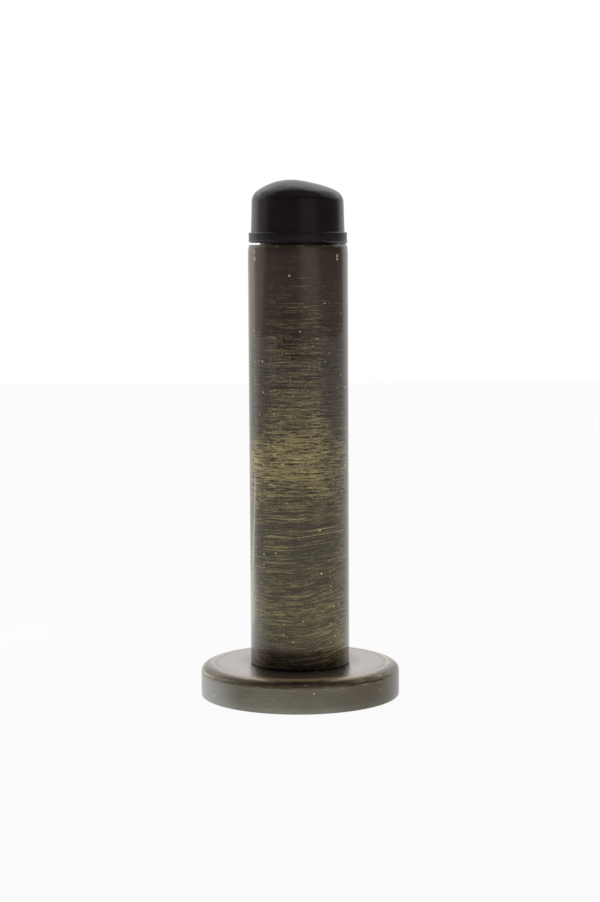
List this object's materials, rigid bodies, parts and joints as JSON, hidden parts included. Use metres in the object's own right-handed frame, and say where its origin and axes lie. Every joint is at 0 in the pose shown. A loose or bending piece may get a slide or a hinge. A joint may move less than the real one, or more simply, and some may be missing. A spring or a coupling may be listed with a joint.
{
  "type": "door stop",
  "caption": "Cylinder door stop with a domed rubber buffer on a long column, standing on a round rose that hides its wall fixing plate.",
  "frame": {"origin": "centre of the wall face: the axis of the column, in the plane of the rose's lower rim and the fixing plate's back", "axes": "+Z along the column, away from the wall, towards the buffer; X and Y across the rose, with one wall screw hole on +Y"},
  "size_m": [0.0384, 0.0384, 0.099],
  "materials": {
    "antique_brass": "dark bronze patina over brass, brushed round and worn to gold at the edges",
    "plain_brass": "as turned, unlacquered",
    "zinc_steel": "bright zinc plate",
    "spring_steel": "self-colour spring steel, oiled",
    "rubber": "satin, as moulded"
  },
  "bodies": {
    "mounting": {"fixing_plate": "zinc_steel", "centre_stud": "zinc_steel", "spring_washer": "spring_steel", "stud_nut": "zinc_steel"},
    "rose": {"rose": "antique_brass"},
    "column": {"column_tube": "antique_brass", "threaded_bush": "plain_brass"},
    "buffer": {"rubber_buffer": "rubber"}
  },
  "joints": [
    {"name": "rose_lift", "type": "slide", "parent": "mounting", "child": "rose", "axis": [0, 0, 1], "range_m": [0, 0.0113]},
    {"name": "column_turn", "type": "hinge", "parent": "rose", "child": "column", "pos_m": [0, 0, 0.0062], "axis": [0, 0, 1], "range_deg": [0, 4050]},
    {"name": "buffer_pull", "type": "slide", "parent": "column", "child": "buffer", "axis": [0, 0, 1], "range_m": [0, 0.01]}
  ],
  "couplings": [
    {"joint": "rose_lift", "follows": "column_turn", "m_per_rad": 0.00015915}
  ]
}
